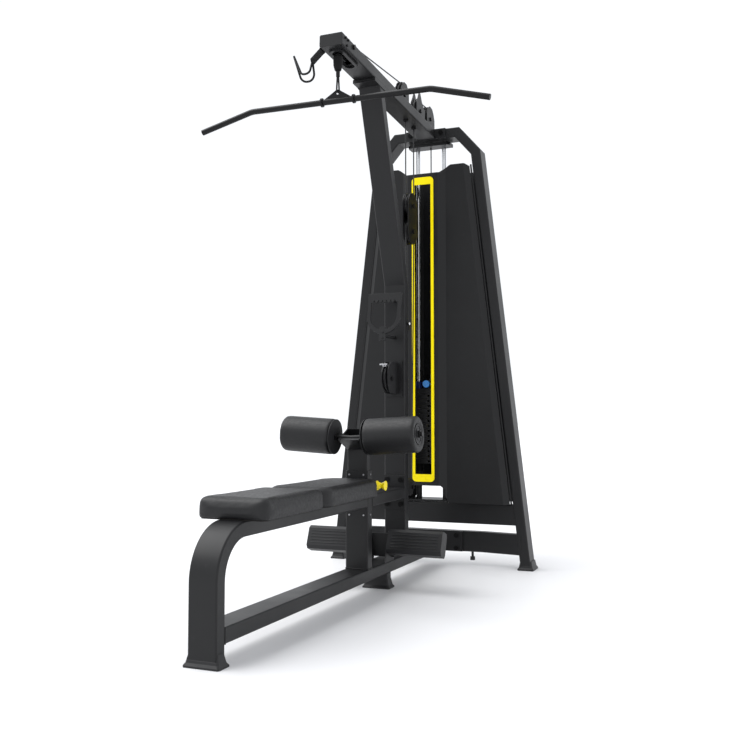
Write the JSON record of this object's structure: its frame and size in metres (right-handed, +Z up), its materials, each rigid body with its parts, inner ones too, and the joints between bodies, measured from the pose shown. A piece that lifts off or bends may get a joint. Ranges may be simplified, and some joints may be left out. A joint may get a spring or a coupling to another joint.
{
  "type": "lat pulldown machine",
  "caption": "Cable weight-stack machine with an overhead pulldown bar, a low row cable, a long padded bench, adjustable knee rollers and a covered stack tower",
  "frame": {"origin": "on the floor, in the middle of the machine's bounding box", "axes": "+Z up, -Y towards the bench end where the user sits, +Y towards the weight tower, +X to the right seen from the bench"},
  "size_m": [1.2508, 2.2458, 2.35],
  "materials": {
    "frame_paint": "fine textured powder coat",
    "cover_paint": "satin powder coat on folded sheet",
    "trim_yellow": "gloss",
    "chrome": "polished",
    "black_steel": "black oxide",
    "weight_iron": "fine textured coat",
    "rubber": "matte",
    "pulley_nylon": "moulded",
    "black_plastic": "fine grain",
    "cable_cover": "smooth jacket",
    "vinyl": "grained upholstery vinyl",
    "plywood": "raw",
    "blue_plastic": "gloss",
    "bush_blue": "satin",
    "knob_yellow": "gloss"
  },
  "bodies": {
    "frame": {"bench_frame": "frame_paint", "base_beam": "frame_paint", "rear_post": "frame_paint", "bench_link": "frame_paint", "mast": "frame_paint", "overhead_beam": "frame_paint", "tower_frame": "frame_paint", "upper_crossbeam": "frame_paint", "lower_crossbeam": "frame_paint", "feet": "black_plastic", "welded_plates": "frame_paint", "frame_bolts": "black_steel", "sleeve_hardware": "chrome", "front_shroud": "cover_paint", "rear_shroud": "cover_paint", "window_trim": "trim_yellow", "guide_rods": "chrome", "guide_rod_plates": "frame_paint", "buffers_and_grommets": "rubber", "weight_plates": "weight_iron", "tower_pulley_brackets": "frame_paint", "row_pulley_brackets": "frame_paint", "floating_block": "black_steel", "pulley_axles": "black_steel", "bar_hook": "black_steel", "footplates": "black_plastic", "footplate_bracket": "frame_paint", "accessory_hanger": "frame_paint", "seat_pad_front": "vinyl", "seat_pad_rear": "vinyl", "seat_boards": "plywood", "lat_cable": "cable_cover", "row_cable": "cable_cover", "row_cable_stop": "chrome"},
    "stack": {"top_weight": "weight_iron", "selector_rod": "chrome", "guide_bushes": "bush_blue", "stack_cable": "cable_cover"},
    "pin": {"selector_pin": "blue_plastic"},
    "bar_link": {"cable_sleeve": "rubber", "bar_cable": "cable_cover"},
    "bar": {"lat_bar": "black_steel", "bar_fittings": "black_steel", "snap_link": "black_steel"},
    "knees": {"knee_post": "frame_paint", "roller_shaft": "black_steel"},
    "left_knee_roller": {"left_roller": "vinyl", "left_roller_core": "black_plastic"},
    "right_knee_roller": {"right_roller": "vinyl", "right_roller_core": "black_plastic"},
    "plunger": {"pop_pin": "knob_yellow"},
    "turning_head_pulley": {"head_pulley": "pulley_nylon"},
    "turning_first_tower_pulley": {"first_tower_pulley": "pulley_nylon"},
    "turning_block_upper_pulley": {"block_upper_pulley": "pulley_nylon"},
    "turning_second_tower_pulley": {"second_tower_pulley": "pulley_nylon"},
    "turning_third_tower_pulley": {"third_tower_pulley": "pulley_nylon"},
    "turning_block_lower_pulley": {"block_lower_pulley": "pulley_nylon"},
    "turning_low_pulley": {"low_pulley": "pulley_nylon"},
    "turning_mast_pulley": {"mast_pulley": "pulley_nylon"},
    "turning_exit_pulley": {"exit_pulley": "pulley_nylon"}
  },
  "joints": [
    {"name": "stack_lift", "type": "slide", "parent": "frame", "child": "stack", "axis": [0, 0, 1], "range_m": [0, 0.9], "deforming": ["stack_cable"]},
    {"name": "pin_pull", "type": "slide", "parent": "stack", "child": "pin", "axis": [0, -1, 0], "range_m": [0, 0.06]},
    {"name": "bar_pull", "type": "slide", "parent": "frame", "child": "bar_link", "axis": [0, 0, -1], "range_m": [0, 0.9], "deforming": ["bar_cable"]},
    {"name": "bar_swivel", "type": "hinge", "parent": "bar_link", "child": "bar", "pos_m": [0, -0.1489, 2], "axis": [0, 0, 1], "range_deg": [-75, 75]},
    {"name": "knee_height", "type": "slide", "parent": "frame", "child": "knees", "axis": [0, 0, 1], "range_m": [-0.05, 0.1]},
    {"name": "plunger_pull", "type": "slide", "parent": "frame", "child": "plunger", "axis": [1, 0, 0], "range_m": [0, 0.012], "stiffness_N_per_m": 400, "springref_m": -0.01},
    {"name": "left_roller_turn", "type": "hinge", "parent": "knees", "child": "left_knee_roller", "pos_m": [-0.17966, -0.0159, 0.66299], "axis": [0.9981, 0, -0.061], "continuous": true},
    {"name": "right_roller_turn", "type": "hinge", "parent": "knees", "child": "right_knee_roller", "pos_m": [0.17966, -0.0159, 0.66299], "axis": [0.9981, 0, 0.061], "continuous": true},
    {"name": "head_pulley_turn", "type": "hinge", "parent": "frame", "child": "turning_head_pulley", "pos_m": [0, -0.1039, 2.2365], "axis": [1, 0, 0], "range_deg": [0, 1148.9]},
    {"name": "first_tower_pulley_turn", "type": "hinge", "parent": "frame", "child": "turning_first_tower_pulley", "pos_m": [0, 0.5831, 2.268], "axis": [1, 0, 0], "range_deg": [0, 915.7]},
    {"name": "block_upper_pulley_turn", "type": "hinge", "parent": "frame", "child": "turning_block_upper_pulley", "pos_m": [0, 0.6966, 1.758], "axis": [-1, 0, 0], "range_deg": [0, 915.7]},
    {"name": "second_tower_pulley_turn", "type": "hinge", "parent": "frame", "child": "turning_second_tower_pulley", "pos_m": [0, 0.8101, 2.26], "axis": [1, 0, 0], "range_deg": [0, 915.7]},
    {"name": "third_tower_pulley_turn", "type": "hinge", "parent": "frame", "child": "turning_third_tower_pulley", "pos_m": [0, 0.9666, 2.266], "axis": [1, 0, 0], "range_deg": [0, 915.7]},
    {"name": "exit_pulley_turn", "type": "hinge", "parent": "frame", "child": "turning_exit_pulley", "pos_m": [0, 0.4021, 0.91], "axis": [1, 0, 0], "continuous": true},
    {"name": "mast_pulley_turn", "type": "hinge", "parent": "frame", "child": "turning_mast_pulley", "pos_m": [0, 0.5831, 0.91], "axis": [1, 0, 0], "continuous": true},
    {"name": "low_pulley_turn", "type": "hinge", "parent": "frame", "child": "turning_low_pulley", "pos_m": [0, 0.6766, 0.405], "axis": [1, 0, 0], "continuous": true},
    {"name": "block_lower_pulley_turn", "type": "hinge", "parent": "frame", "child": "turning_block_lower_pulley", "pos_m": [0, 0.6966, 1.632], "axis": [1, 0, 0], "continuous": true}
  ],
  "couplings": [
    {"joint": "bar_pull", "follows": "stack_lift", "ratio": 1},
    {"joint": "head_pulley_turn", "follows": "stack_lift", "rad_per_m": 22.222},
    {"joint": "first_tower_pulley_turn", "follows": "stack_lift", "rad_per_m": 17.699},
    {"joint": "block_upper_pulley_turn", "follows": "stack_lift", "rad_per_m": 17.699},
    {"joint": "second_tower_pulley_turn", "follows": "stack_lift", "rad_per_m": 17.699},
    {"joint": "third_tower_pulley_turn", "follows": "stack_lift", "rad_per_m": 17.699},
    {"joint": "mast_pulley_turn", "follows": "exit_pulley_turn", "ratio": 1},
    {"joint": "low_pulley_turn", "follows": "exit_pulley_turn", "ratio": -1.527},
    {"joint": "block_lower_pulley_turn", "follows": "exit_pulley_turn", "ratio": -0.5}
  ]
}
